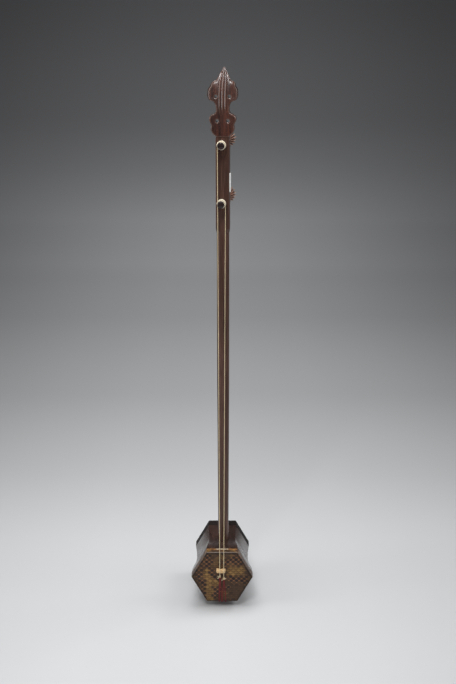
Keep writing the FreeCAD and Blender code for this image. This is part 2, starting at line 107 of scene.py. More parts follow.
PEG_SHIFT = -0.9
PEG_FRONT = -30.0
PEG_LENGTH = 127.0
PEG_KNOB_END = 3.4
PEG_TIP_RADIUS = 3.8
PEG_JOURNAL = (20.6, 39.4)
PEG_HEAD_START = 80.0
PEG_HEAD_END = 120.0
PEG_HEAD_RADIUS = 13.8
PEG_SIDES = 216
FLUTES = 18
FLUTE_DEPTH = 0.28

STRING_RADIUS = 0.5
TIE_RADIUS = 0.62
STRANDS = 3
TWIST = Matrix.Rotation(-NECK_TURN, 3, "Z")

# edges sharper than these angles, in degrees, stay crisp
NECK_CREASE = 28
STAVE_CREASE = 32
RIM_CREASE = 35
SMALL_CREASE = 40
KNOB_CREASE = 50


# ---- mesh helpers

def turned(points):
    """Points of the neck's own frame, turned with the neck. An (n, 3) array in millimetres."""
    return np.asarray(points, float) @ np.array(TWIST).T


def add_object(name, data):
    made = bpy.data.objects.new(name, data)
    bpy.context.scene.collection.objects.link(made)
    return made


def crease(obj, degrees):
    """Keep the edges crisp that are sharper than an angle."""
    obj.data.set_sharp_from_angle(angle=math.radians(degrees))


def about_z(radius, turn, z):
    """Points at radii and angles about the Z axis, and at heights."""
    return np.column_stack(np.broadcast_arrays(radius * np.cos(turn), radius * np.sin(turn), z))


def new_object(name, verts, faces, sharp_degrees=None):
    """Object from vertices in millimetres, smooth shaded, with edges over sharp_degrees kept crisp."""
    mesh = bpy.data.meshes.new(name)
    mesh.from_pydata((np.asarray(verts, float) * MM).tolist(), [], faces)
    mesh.validate()
    mesh.shade_smooth()
    made = add_object(name, mesh)
    if sharp_degrees:
        crease(made, sharp_degrees)
    return made


def loft_faces(ring_count, ring_size, closed=True, caps=True):
    """Quads between successive rings of ring_size points, with flat caps on a closed tube."""
    faces = []
    span = ring_size if closed else ring_size - 1
    for ring in range(ring_count - 1):
        low = ring * ring_size
        high = low + ring_size
        for k in range(span):
            after = (k + 1) % ring_size
            faces.append((low + k, low + after, high + after, high + k))
    if caps and closed:
        faces.append(tuple(reversed(range(ring_size))))
        last = (ring_count - 1) * ring_size
        faces.append(tuple(range(last, last + ring_size)))
    return faces


def loft(name, rings, sharp_degrees=None):
    rings = np.asarray(rings, float)
    made = new_object(name, rings.reshape(-1, 3), loft_faces(len(rings), rings.shape[1]), sharp_degrees)
    outward(made)
    return made


def outward(obj):
    """Turn every face of a closed mesh outwards."""
    bm = bmesh.new()
    bm.from_mesh(obj.data)
    bmesh.ops.recalc_face_normals(bm, faces=bm.faces)
    bm.to_mesh(obj.data)
    bm.free()


def apply_modifiers(obj):
    bpy.context.view_layer.update()
    depsgraph = bpy.context.evaluated_depsgraph_get()
    mesh = bpy.data.meshes.new_from_object(obj.evaluated_get(depsgraph))
    old = obj.data
    obj.modifiers.clear()
    obj.data = mesh
    mesh.name = obj.name
    bpy.data.meshes.remove(old)


def cut(obj, tool):
    """Cut a tool's shape out of an object, and delete the tool."""
    step = obj.modifiers.new("cut", "BOOLEAN")
    step.operation = "DIFFERENCE"
    step.object = tool
    step.solver = "EXACT"
    apply_modifiers(obj)
    bpy.data.objects.remove(tool)


def cylinder(start, end, radius, sides=64):
    """Round rod between two points in millimetres, used as a cutter."""
    ends = np.array([start, end], float)
    return loft("cutter", [circle_about(point, ends[1] - ends[0], radius, sides) for point in ends])


def frame_of(direction):
    """Two unit vectors at right angles to a direction."""
    direction = direction / np.linalg.norm(direction)
    helper = np.array([0.0, 0.0, 1.0]) if abs(direction[2]) < 0.9 else np.array([1.0, 0.0, 0.0])
    across = np.cross(direction, helper)
    across /= np.linalg.norm(across)
    return across, np.cross(direction, across)


def full_turn(sides):
    return np.linspace(0, math.tau, sides, endpoint=False)


def circle_about(centre, direction, radius, sides):
    across, up = frame_of(np.asarray(direction, float))
    turn = full_turn(sides)[:, None]
    return centre + radius * (np.cos(turn) * across + np.sin(turn) * up)


def smooth(value, low, high):
    share = np.clip((value - low) / (high - low), 0, 1)
    return share * share * (3 - 2 * share)


def dense_path(points, spacing):
    """Points spaced evenly along a smooth curve through the given ones."""
    points = np.asarray(points, float)
    padded = np.vstack([2 * points[0] - points[1], points, 2 * points[-1] - points[-2]])
    fine = []
    for k in range(1, len(padded) - 2):
        before, start, end, after = padded[k - 1:k + 3]
        for t in np.linspace(0, 1, 24, endpoint=False):
            fine.append(0.5 * (2 * start + (end - before) * t
                               + (2 * before - 5 * start + 4 * end - after) * t * t
                               + (3 * start - before - 3 * end + after) * t ** 3))
    fine.append(points[-1])
    return even_path(np.array(fine), spacing)


def even_path(points, spacing):
    """The same polyline with evenly spaced points."""
    steps = np.linalg.norm(np.diff(points, axis=0), axis=1)
    along = np.concatenate([[0], np.cumsum(steps)])
    count = max(3, int(along[-1] / spacing) + 1)
    where = np.linspace(0, along[-1], count)
    return np.column_stack([np.interp(where, along, points[:, axis]) for axis in range(3)])


def twisted_cord(path, radius, pitch, sides=12, depth=0.22, taper_end=0.0):
    """Cord laid up from strands: a lobed section that turns along an evenly spaced path."""
    path = np.asarray(path, float)
    tangents = np.gradient(path, axis=0)
    tangents /= np.linalg.norm(tangents, axis=1)[:, None]
    across, _ = frame_of(tangents[0])
    length = 0.0
    rings = []
    turn = full_turn(sides)
    for k, point in enumerate(path):
        if k:
            length += np.linalg.norm(point - path[k - 1])
        across = across - tangents[k] * np.dot(across, tangents[k])
        across /= np.linalg.norm(across)
        up = np.cross(tangents[k], across)
        lay = math.tau * length / pitch
        shape = 1 - depth * (0.5 - 0.5 * np.cos(STRANDS * (turn - lay)))
        end_share = 1 - taper_end * smooth(k, len(path) * 0.6, len(path) - 1)
        size = (radius * shape * end_share)[:, None]
        rings.append(point + size * np.cos(turn)[:, None] * across + size * np.sin(turn)[:, None] * up)
    return loft("cord", rings)


def join(name, pieces):
    """One object from several."""
    bm = bmesh.new()
    for piece in pieces:
        bm.from_mesh(piece.data)
        bpy.data.objects.remove(piece)
    mesh = bpy.data.meshes.new(name)
    bm.to_mesh(mesh)
    bm.free()
    mesh.shade_smooth()
    return add_object(name, mesh)


def settle(obj, body, slot, material, *nodes):
    """Give a finished piece its material and its body, and hide the CAD nodes that it stands for; slot is
    not used.
    """
    if material:
        obj.data.materials.clear()
        obj.data.materials.append(material)
    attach(obj, body)
    if nodes:
        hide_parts(*nodes)


# ---- material helpers

def set_inputs(node, values):
    for name, value in values.items():
        node.inputs[name].default_value = value


class Shader:
    """Short way to write a node material: most methods add a node and return its output."""

    def __init__(self, name, roughness=0.5, coat=0.0, coat_roughness=0.2, specular=0.5, sheen=0.0):
        self.material = bpy.data.materials.new(name)
        self.material.use_nodes = True
        self.tree = self.material.node_tree
        self.surface = self.tree.nodes["Principled BSDF"]
        set_inputs(self.surface, {
            "Roughness": roughness, "Coat Weight": coat, "Coat Roughness": coat_roughness,
            "Specular IOR Level": specular, "Sheen Weight": sheen,
        })

    def node(self, kind, **settings):
        made = self.tree.nodes.new(f"ShaderNode{kind}")
        for name, value in settings.items():
            setattr(made, name, value)
        return made

    def feed(self, socket, value):
        if isinstance(value, bpy.types.NodeSocket):
            self.tree.links.new(value, socket)
        elif value is not None:
            socket.default_value = value

    def noise(self, stretch=(1, 1, 1), scale=1.0, detail=4.0, roughness=0.55, distortion=0.0):
        """Noise in object coordinates, with the number of its features per millimetre by axis."""
        mapping = self.node("Mapping")
        self.feed(mapping.inputs["Vector"], self.node("TexCoord").outputs["Object"])
        mapping.inputs["Scale"].default_value = [share / MM for share in stretch]
        made = self.node("TexNoise")
        self.feed(made.inputs["Vector"], mapping.outputs["Vector"])
        set_inputs(made, {
            "Scale": scale, "Detail": detail, "Roughness": roughness, "Distortion": distortion,
        })
        return made.outputs["Fac"]

    def attribute(self, name, output="Fac"):
        made = self.node("Attribute")
        made.attribute_name = name
        return made.outputs[output]

    def ramp(self, value, stops):
        """Colour ramp with two stops of (position, colour), where a grey is given as one number."""
        made = self.node("ValToRGB")
        self.feed(made.inputs["Fac"], value)
        for element, (position, colour) in zip(made.color_ramp.elements, stops):
            element.position = position
            element.color = (*colour, 1) if isinstance(colour, tuple) else (colour, colour, colour, 1)
        return made.outputs["Color"]

    def mix(self, share, first, second, blend="MIX"):
        made = self.node("Mix", data_type="RGBA", blend_type=blend)
        self.feed(made.inputs[0], share)
        for socket, value in ((made.inputs[6], first), (made.inputs[7], second)):
            self.feed(socket, (*value, 1) if isinstance(value, tuple) else value)
        return made.outputs[2]

    def bump(self, height, strength, distance_mm, after=None):
        made = self.node("Bump")
        set_inputs(made, {"Strength": strength, "Distance": distance_mm * MM})
        self.feed(made.inputs["Height"], height)
        self.feed(made.inputs["Normal"], after)
        return made.outputs["Normal"]

    def finish(self, colour, roughness=None, normal=None):
        self.feed(self.surface.inputs["Base Color"], colour)
        self.feed(self.surface.inputs["Roughness"], roughness)
        self.feed(self.surface.inputs["Normal"], normal)
        return self.material


def drawn_out(axis, across, along):
    return [along if k == axis else across for k in range(3)]


def wood(name, dark, light, streak, grain_axis, roughness=(0.28, 0.42), coat=0.1, specular=0.3, ridge_colour=None):
    """Polished hardwood with grain along one axis, dark streaks, pores, hazy roughness and, where
    ridge_colour is given, a lighter colour on sharp convex edges.
    """
    shader = Shader(name, coat=coat, coat_roughness=0.18, specular=specular)
    grain = shader.noise(drawn_out(grain_axis, 1.3, 0.035), detail=5, roughness=0.6)
    bands = shader.noise(drawn_out(grain_axis, 0.16, 0.006), detail=3, distortion=0.6)
    colour = shader.ramp(bands, [(0.34, dark), (0.6, light)])
    colour = shader.mix(shader.ramp(grain, [(0.42, 0.0), (0.62, 0.75)]), colour, streak)
    if ridge_colour is not None:
        # lighter colour where the surface is sharply convex
        edge = shader.node("NewGeometry").outputs["Pointiness"]
        colour = shader.mix(shader.ramp(edge, [(0.5, 0.0), (0.56, 0.8)]), colour, ridge_colour)
    haze = shader.noise((0.05, 0.05, 0.05), detail=3)
    sheen = shader.ramp(haze, [(0.35, roughness[0]), (0.7, roughness[1])])
    pore = shader.noise(drawn_out(grain_axis, 4.0, 0.16), detail=2)
    pore = shader.ramp(pore, [(0.3, 0.0), (0.42, 1.0)])
    normal = shader.bump(pore, 0.25, 0.06)
    normal = shader.bump(grain, 0.12, 0.1, after=normal)
    return shader.finish(colour, sheen, normal)


def fibrous(shader, fibre, tones, relief, blotch=None, share=None, stain=None):
    """Fibres of two tones in relief, with blotches of a third colour."""
    colour = shader.ramp(fibre, tones)
    if blotch is not None:
        colour = shader.mix(shader.ramp(blotch, share), colour, stain)
    return shader.finish(colour, None, shader.bump(fibre, *relief))


def silk(name, dark, light):
    shader = Shader(name, roughness=0.6, sheen=0.08, specular=0.25)
    fibre = shader.noise(scale=6.0, detail=5, roughness=0.7)
    soil = shader.noise((0.05, 0.05, 0.05), detail=3)
    return fibrous(shader, fibre, [(0.35, dark), (0.65, light)], (0.5, 0.12),
                   soil, [(0.4, 0.0), (0.75, 0.45)], dark)


def skin_material():
    """Snakeskin: the scale colours, with painted shade and a painted highlight at the fold and painted
    shade to the sides, and the furrows come from the mesh, the fine tooth from noise.
    """
    shader = Shader("snakeskin", coat=0.05, coat_roughness=0.3, specular=0.25)
    scales = shader.attribute("scale_colour_and_painted_light", "Color")
    furrow = shader.attribute("furrow")
    mottle = shader.noise(scale=1.1, detail=6, roughness=0.7)
    colour = shader.mix(shader.ramp(mottle, [(0.35, 0.0), (0.7, 0.35)]), scales, (0.045, 0.026, 0.015))
    colour = shader.mix(shader.ramp(furrow, [(0.0, 0.0), (1.0, 0.12)]), colour, (0.022, 0.014, 0.01))
    roughness = shader.ramp(furrow, [(0.0, 0.36), (1.0, 0.62)])
    normal = shader.bump(mottle, 0.25, 0.12)
    return shader.finish(colour, roughness, normal)


def skin_edge_material():
    shader = Shader("skin_cut_edge", roughness=0.6)
    fibre = shader.noise(scale=2.5, detail=5)
    return fibrous(shader, fibre, [(0.3, (0.3, 0.22, 0.15)), (0.7, (0.52, 0.42, 0.31))], (0.6, 0.15))


def bamboo_material():
    shader = Shader("bamboo", roughness=0.5, specular=0.4)
    fibre = shader.noise((0.35, 4.0, 4.0), detail=4)
    blotch = shader.noise((0.25, 0.25, 0.25), detail=2)
    return fibrous(shader, fibre, [(0.3, (0.5, 0.29, 0.12)), (0.65, (0.86, 0.6, 0.32))], (0.4, 0.12),
                   blotch, [(0.5, 0.0), (0.75, 0.4)], (0.88, 0.74, 0.5))


def paper_material():
    shader = Shader("label_paper", roughness=0.8, specular=0.3)
    fibre = shader.noise(scale=1.8, detail=6, roughness=0.7)
    blotch = shader.noise((0.08, 0.08, 0.08), detail=3)
    return fibrous(shader, fibre, [(0.3, (0.86, 0.86, 0.83)), (0.7, (0.97, 0.97, 0.95))], (0.3, 0.08),
                   blotch, [(0.5, 0.0), (0.8, 0.3)], (0.66, 0.6, 0.48))


X_GRAIN, Y_GRAIN, Z_GRAIN = range(3)
NECK_WOOD = wood("neck_wood", (0.066, 0.03, 0.021), (0.125, 0.061, 0.044), (0.03, 0.013, 0.01), Z_GRAIN)
HEAD_WOOD = wood("head_wood", (0.036, 0.012, 0.008), (0.115, 0.036, 0.021), (0.017, 0.006, 0.005), Z_GRAIN,
                 roughness=(0.2, 0.32), coat=0.8, specular=0.45, ridge_colour=(0.3, 0.17, 0.13))
BOX_WOOD = wood("box_wood", (0.026, 0.014, 0.011), (0.058, 0.029, 0.022), (0.014, 0.008, 0.006), Y_GRAIN,
                roughness=(0.22, 0.36), coat=0.3, specular=0.45)
RIM_WOOD = wood("rim_wood", (0.009, 0.008, 0.008), (0.024, 0.019, 0.017), (0.005, 0.004, 0.004), X_GRAIN,
                roughness=(0.42, 0.6), coat=0.0, specular=0.08)
PEG_WOOD = wood("peg_wood", (0.09, 0.036, 0.025), (0.3, 0.135, 0.09), (0.03, 0.013, 0.01), Y_GRAIN,
                roughness=(0.3, 0.45), ridge_colour=(0.55, 0.36, 0.28))
KNOB_WOOD = wood("knob_wood", (0.016, 0.01, 0.01), (0.045, 0.024, 0.022), (0.008, 0.005, 0.005), X_GRAIN,
                 roughness=(0.16, 0.26), coat=0.4)
STRING_SILK = silk("string_silk", (0.5, 0.39, 0.22), (0.94, 0.81, 0.55))
WOUND_SILK = silk("wound_silk", (0.66, 0.56, 0.38), (0.98, 0.93, 0.79))
RED_SILK = silk("red_silk", (0.095, 0.008, 0.012), (0.34, 0.02, 0.03))
SKIN = skin_material()
SKIN_EDGE = skin_edge_material()
BAMBOO = bamboo_material()
PAPER = paper_material()


# ---- neck

def neck_radius(z):
    """Radius of the turned shape that limits the section at a height."""
    floor_inside = BOX_Z - WAIST_APOTHEM + STAVE_THICKNESS
    radius = np.interp(z, [0, 0.6, floor_inside, floor_inside + 0.5, 88, TAPER_TOP, FLAT_START],
                       [STUB_RADIUS - 0.6, STUB_RADIUS, STUB_RADIUS, BASE_RADIUS, BASE_RADIUS,
                        SHAFT_RADIUS, SHAFT_RADIUS])
    stop = smooth(z, FLAT_START - 1, FLAT_START + STOP_LENGTH)
    return radius + stop * (FLAT_CORNER - SHAFT_RADIUS)


def flat_section(turn, z):
    """Distance from the axis to the sides of the flat section, which run out below FLAT_START."""
    open_up = max(0.0, FLAT_START - z) * 0.12
    across = (FLAT_WIDTH / 2 + open_up) / np.maximum(np.abs(np.cos(turn)), 1e-6)
    deep = (FLAT_DEPTH / 2 + open_up) / np.maximum(np.abs(np.sin(turn)), 1e-6)
    return np.minimum(across, deep)


def make_neck():
    heights = np.concatenate([
        [0, 0.6, 10, 20.1, 20.7], np.arange(30, 540, 10.0),
        np.arange(540, 575, 0.6), np.arange(576, HEAD_JOINT, 6.0), [HEAD_JOINT]])
    turn = full_turn(160)
    rings = []
    for z in heights:
        radius = np.minimum(neck_radius(z), flat_section(turn, z))
        radius = radius + 0.05 * np.sin(3 * turn + z * 0.013) * np.sin(z * 0.021)
        rings.append(about_z(radius, turn, z))
    neck = loft("neck_piece", rings, NECK_CREASE)
    through = 15
    for z in (UPPER_PEG_Z, LOWER_PEG_Z):
        bore = cylinder((PEG_SHIFT, -through, z), (PEG_SHIFT, through, z), BORE_RADIUS)
        cut(neck, bore)
    crease(neck, NECK_CREASE)
    turn_with_neck(neck)
    settle(neck, "root", "neck_wood", NECK_WOOD, "neck")


def turn_with_neck(obj):
    obj.data.transform(TWIST.to_4x4())


# ---- carved head

# half outline of the head, as shares of its width from the centre line and of its height
HEAD_HALF = [
    (0.206, 0.000), (0.25, 0.018), (0.33, 0.05), (0.385, 0.1), (0.392, 0.14), (0.374, 0.172),
    (0.405, 0.2), (0.445, 0.245), (0.43, 0.29), (0.355, 0.325), (0.262, 0.343), (0.226, 0.372),
    (0.222, 0.42), (0.24, 0.465), (0.29, 0.5), (0.38, 0.517), (0.455, 0.538), (0.496, 0.58),
    (0.5, 0.64), (0.484, 0.685), (0.43, 0.725), (0.392, 0.768), (0.33, 0.796), (0.235, 0.818),
    (0.172, 0.868), (0.112, 0.92), (0.062, 0.962), (0.036, 0.988), (0.0, 1.0),
]
HEAD_EYES = ((9.4, 750.0), (7.6, 716.5))
EYE_RADIUS = 2.25
RIDGE_PITCH = 4.2
HEAD_HALF_DEPTH = 8.0
HEAD_EDGE = 0.9
HEAD_SLOPE = 728         # height where the front starts to slope back
TIP_BACK = 12.0          # how far the slope brings the tip back
TIP_ASIDE = 1.5          # how far the tip leans to the right
RIDGE_RISE = 0.55


def head_outline_points():
    """Closed outline of the head in the plane of its axis."""
    height = HEAD_TOP - HEAD_JOINT
    path = dense_path([(share * HEAD_WIDTH, 0.0, HEAD_JOINT + up * height) for share, up in HEAD_HALF], 0.8)
    left = path[::-1][1:] * np.array([-1, 1, 1])
    return np.vstack([path, left])


def head_front(z):
    """Front face: flat below HEAD_SLOPE, sloping back to the tip above it."""
    return -HEAD_HALF_DEPTH + TIP_BACK * np.clip((z - HEAD_SLOPE) / 62, 0, 1.0) ** 2.2


def head_blank():
    """Flat head with chamfered edges and its four holes, as a fine even mesh."""
    outline = head_outline_points()
    normals = outline_normals(outline)
    front, edge = HEAD_HALF_DEPTH, HEAD_EDGE
    rings = []
    for y, grow in ((-front, -edge), (-front + edge, 0.0), (front - edge, 0.0), (front, -edge)):
        ring = outline + normals * grow
        ring[:, 1] = y
        rings.append(ring)
    head = loft("carved_head_piece", rings)
    for side in (-1, 1):
        for offset, z in HEAD_EYES:
            cut(head, cylinder((side * offset, -20, z), (side * offset, 20, z), EYE_RADIUS, 48))
    remesh = head.modifiers.new("carve", "REMESH")
    remesh.mode = "VOXEL"
    remesh.voxel_size = 0.45 * MM
    soften(head, 10)
    return head


def soften(obj, iterations):
    """Round off a mesh's edges, with the modifiers before it applied too."""
    step = obj.modifiers.new("soften", "SMOOTH")
    step.factor = 0.5
    step.iterations = iterations
    apply_modifiers(obj)


def make_head():
    head = head_blank()
    carve_head(head)
    soften(head, 3)
    head.data.shade_smooth()
    turn_with_neck(head)
    settle(head, "root", "head_wood", HEAD_WOOD, "carved_head")


def outline_normals(outline):
    """Outward directions of a closed outline that lies in a plane of constant y."""
    ahead = np.roll(outline, -1, axis=0) - np.roll(outline, 1, axis=0)
    normals = np.column_stack([ahead[:, 2], np.zeros(len(ahead)), -ahead[:, 0]])
    return normals / np.maximum(np.linalg.norm(normals, axis=1), 1e-9)[:, None]


def outline_distance(x, z):
    """How far places on the head's front are from its outline."""
    nearest = np.full(len(x), 99.0)
    for edge_x, _, edge_z in even_path(head_outline_points(), 0.25):
        nearest = np.minimum(nearest, np.hypot(x - edge_x, z - edge_z))
    return nearest


def carve_head(head):
    """Slope the front back to the tip, raise the three ridges and round the upper lobes."""
    count = len(head.data.vertices)
    flat = np.zeros(count * 3)
    head.data.vertices.foreach_get("co", flat)
    points = flat.reshape(-1, 3) / MM
    x, y, z = points.T
    front_share = np.clip((HEAD_HALF_DEPTH - y) / (2 * HEAD_HALF_DEPTH), 0, 1)
    moved = y + (head_front(z) + HEAD_HALF_DEPTH) * front_share
    on_front = smooth(-y, 5.5, 7.4)
    run = smooth(z, 722, 738) * (1 - smooth(z, 781, 789))
    pitch = RIDGE_PITCH * (1 - 0.45 * smooth(z, 765, 790))
    wave = np.cos(math.tau * x / pitch)
    near = 1 - smooth(np.abs(x), pitch * 1.3, pitch * 1.62)
    moved -= on_front * run * near * (RIDGE_RISE * wave + 0.1)
    lobes = smooth(np.abs(x), 8, 15) * smooth(z, 742, 750) * (1 - smooth(z, 756, 768))
    moved += on_front * lobes * 0.8
    rounded = on_front * smooth(z, 736, 750) * (1 - smooth(z, 764, 774))
    near = rounded > 0
    edge_share = 1 - np.clip(outline_distance(x[near], z[near]) / 3.6, 0, 1)
    moved[near] += rounded[near] * 2.2 * edge_share ** 2
    points[:, 0] = x + TIP_ASIDE * smooth(z, 755, 788)
    points[:, 1] = moved
    head.data.vertices.foreach_set("co", (points * MM).ravel())
    head.data.update()


# ---- sound box

def box_apothem(y):
    """Centre to flat of the wooden box's outside at a place along it."""
    y = np.asarray(y, float)
    bend = smooth_curve(y, WRAP_END, WAIST_Y)
    front = FRONT_APOTHEM + (WAIST_APOTHEM - FRONT_APOTHEM) * bend
    back_share = np.clip((y - WAIST_Y) / (RIM_START - WAIST_Y), 0, 1)
    back = WAIST_APOTHEM + (REAR_APOTHEM - WAIST_APOTHEM) * (0.45 * back_share + 0.55 * back_share ** 2)
    return np.where(y < WAIST_Y, front, back)


def smooth_curve(y, low, high):
    """0 to 1 along two equal arcs."""
    share = np.clip((y - low) / (high - low), 0, 1)
    return np.where(share < 0.5, 2 * share ** 2, 1 - 2 * (1 - share) ** 2)


STAVE_NAMES = ["top", "upper_right", "lower_right", "bottom", "lower_left", "upper_left"]
EASE = 0.45
SEAM = 0.01
# where the neck passes: stave, its place across in the top stave's frame, and the bore's radius
STAVE_BORES = {"top": (-BOX_X, BASE_RADIUS + 0.25), "bottom": (BOX_X, STUB_RADIUS + 0.15)}


def stave_section(y, outer, inner):
    """Mitred section of the top stave at y, with its two outer corners eased."""
    tangent = math.tan(math.radians(30))
    left = -(outer * tangent - 0.06)
    eased = [(left + 0.1, outer - 1.4 * EASE), (left + 0.4 * EASE, outer - 0.45 * EASE),
             (left + 1.3 * EASE, outer)]
    mirrored = [(-x, z) for x, z in reversed(eased)]
    corners = [(-inner * tangent, inner), *eased, *mirrored, (inner * tangent, inner)]
    return [(x, y, z) for x, z in corners]


def stave_outer(y):
    """Centre to a stave's outside, which is cut back under the skin and under the rear moulding."""
    if y < WRAP_END - SEAM:
        return FRONT_APOTHEM - SKIN_THICKNESS
    if y > RIM_START + SEAM:
        return REAR_APOTHEM - RIM_RECESS
    return float(box_apothem(y))


def stave_inner(y):
    walls = [FRONT_APOTHEM - FRONT_WALL, WAIST_APOTHEM - STAVE_THICKNESS, REAR_APOTHEM - STAVE_THICKNESS]
    return float(np.interp(y, [BOX_FRONT, WAIST_Y, REAR], walls))


def make_staves():
    stations = np.concatenate([[BOX_FRONT, WRAP_END - 2 * SEAM], np.linspace(WRAP_END, RIM_START, 70),
                               [RIM_START + 2 * SEAM, REAR - 0.4]])
    for index, name in enumerate(STAVE_NAMES):
        rings = [stave_section(y, stave_outer(y), stave_inner(y)) for y in stations]
        stave = loft(f"{name}_stave_piece", rings, STAVE_CREASE)
        if name in STAVE_BORES:
            x, radius = STAVE_BORES[name]
            cut(stave, cylinder((x, 0, 20), (x, 0, 60), radius, 96))
        crease(stave, STAVE_CREASE)
        turn = Matrix.Rotation(index * math.pi / 3, 4, "Y")
        stave.data.transform(Matrix.Translation(BOX_CENTRE) @ turn)
        settle(stave, "root", "box_wood", BOX_WOOD, f"{name}_stave")


def hexagon_ring(apothem, y, per_side, corner_radius=0.0):
    """Points round a hexagon with flat top and bottom, its corners rounded, evenly shared by side."""
    points = []
    side_half = (apothem - corner_radius) * math.tan(math.radians(30))
    arc_count = max(2, per_side // 12)
    for side in range(6):
        out = math.pi / 2 - side * math.pi / 3
        outward_dir = np.array([math.cos(out), 0, math.sin(out)])
        along = np.array([math.sin(out), 0, -math.cos(out)])
        for t in np.linspace(-1, 1, per_side - arc_count):
            points.append(outward_dir * apothem + along * side_half * t)
        corner = outward_dir * (apothem - corner_radius) + along * side_half
        for step in range(1, arc_count + 1):
            angle = out - math.pi / 3 * step / (arc_count + 1)
            points.append(corner + corner_radius * np.array([math.cos(angle), 0, math.sin(angle)]))
    ring = np.array(points)
    ring[:, 0] += BOX_X
    ring[:, 1] = y
    ring[:, 2] += BOX_Z
    return ring


# section of the rear moulding: the land's place from the front end, the others' from the rear end, and
# height from the moulding's top, or for the lip from its seat
RIM_LAND = [(0, -0.6), (0.4, -0.2), (2.2, -0.05), (2.6, -0.7), (3.2, -0.7), (3.6, -0.15), (4.4, 0)]
RIM_BEAD = [(-4.2, 0), (-3.8, -0.35), (-3.2, -0.1), (-2.6, 0), (-0.7, 0), (-0.15, -0.4), (0, -1.0)]
RIM_LIP = [(0, -3.2), (-0.6, -3.8), (-0.42, 0)]
RIM_CORNER = 2.2


def make_rim():
    """Rear moulding: a groove near its front, a flat land, and a rounded bead at the open end."""
    seat = REAR_APOTHEM - RIM_RECESS
    profile = [(RIM_START, seat)]
    profile += [(RIM_START + y, RIM_APOTHEM + up) for y, up in RIM_LAND]
    profile += [(REAR + y, RIM_APOTHEM + up) for y, up in RIM_BEAD]
    profile += [(REAR + y, seat + up) for y, up in RIM_LIP]
    rings = [hexagon_ring(apothem, y, 48, RIM_CORNER) for y, apothem in profile]
    verts = np.vstack(rings)
    size = len(rings[0])
    faces = loft_faces(len(rings), size, True, False)
    last = (len(rings) - 1) * size
    faces += [(last + k, last + (k + 1) % size, (k + 1) % size, k) for k in range(size)]
    rim = new_object("rear_rim_piece", verts, faces, RIM_CREASE)
    outward(rim)
    settle(rim, "root", "dark_rim", RIM_WOOD, "rear_rim")


# ---- snakeskin

SCALE_WIDE = 7.9
SCALE_HIGH = 6.8
SCALE_AT = (21.0, 0.4)
SCALE_RISE = 0.16
SKIN_PER_SIDE = 100
SKIN_STEP = 0.5
# FOLD_HIGHLIGHT is the grey of a painted highlight on the fold; the other colours are the skin's own
BROWN, TAN, INK, SPOT, CREAM, STAIN, FOLD_HIGHLIGHT = np.array([
    (0.07, 0.038, 0.021), (0.315, 0.178, 0.056), (0.009, 0.01, 0.014), (0.39, 0.16, 0.062),
    (0.76, 0.61, 0.44), (0.4, 0.18, 0.06), (0.33, 0.3, 0.28),
])
# patches of the snakeskin: place across and up from the box's axis, half width, half height, strength
TAN_PATCHES = [
    (21, 8, 14, 8, 1.1), (14, 16, 5, 6, 0.9), (-22, 9, 4, 7, 1), (-18, -1, 6, 5, 1), (-14, -9, 9, 6, 1.1),
    (-8, -11, 5, 4, 0.9), (-19, -20, 7, 9, 1.1), (-18, -34, 7, 7, 1), (-26, -1, 4, 5, 0.9),
    (-24, 46, 4, 3, 1), (20, 49, 6, 3, 0.9), (-22, 52, 5, 2, 0.9),
]
INK_PATCHES = [
    (19, 24, 15, 6.5, 1.1), (23, -4, 16, 6, 1.1), (-22, 20, 5, 5, 1), (-22, 33, 5, 7, 1),
    (-15, 25, 5, 4, 0.9), (-18, 15, 4, 4, 0.8), (-17, 7, 5, 4, 0.9), (-11, 1, 4, 5, 0.9),
    (-32, 22, 5, 5, 1), (-33, 4, 6, 6, 1), (-29, -11, 5, 8, 1), (-27, -26, 5, 7, 0.9),
    (-12, -17, 5, 4, 0.9), (-6, -20, 5, 4, 0.8), (-12, -28, 5, 5, 0.9), (25, 34, 4, 4, 0.7),
    (8, -16, 4, 4, 0.6), (35, -12, 5, 6, 0.7), (-16, 48, 4, 3, 1), (-6, 47, 4, 3, 0.8),
    (36, 12, 5, 8, 0.5), (-38, 12, 5, 7, 0.7),
]


def scale_cells(u, v):
    """Cell numbers and place inside the cell, from -0.5 to 0.5, of the lattice of rhombic scales."""
    warp_u = u - SCALE_AT[0] + 0.6 * np.sin(v * 0.11) + 0.35 * np.sin(v * 0.29 + 1)
    warp_v = v - SCALE_AT[1] + 0.5 * np.sin(u * 0.13 + 2)
    a = warp_u / SCALE_WIDE + warp_v / SCALE_HIGH + 0.5
    b = warp_u / SCALE_WIDE - warp_v / SCALE_HIGH + 0.5
    cell_a = np.floor(a)
    cell_b = np.floor(b)
    return cell_a, cell_b, a - cell_a - 0.5, b - cell_b - 0.5


def cell_random(cell_a, cell_b, salt):
    value = np.sin(cell_a * 127.1 + cell_b * 311.7 + salt * 74.7) * 43758.5453
    return value - np.floor(value)


def patch_field(u, v, patches):
    field = np.zeros_like(u)
    for across, up, half_width, half_height, strength in patches:
        distance = ((u - across) / half_width) ** 2 + ((v - up) / half_height) ** 2
        field = np.maximum(field, strength * np.exp(-distance * 0.7))
    return field


def blend(colour, over, share):
    share = share[:, None]
    return colour * (1 - share) + over * share


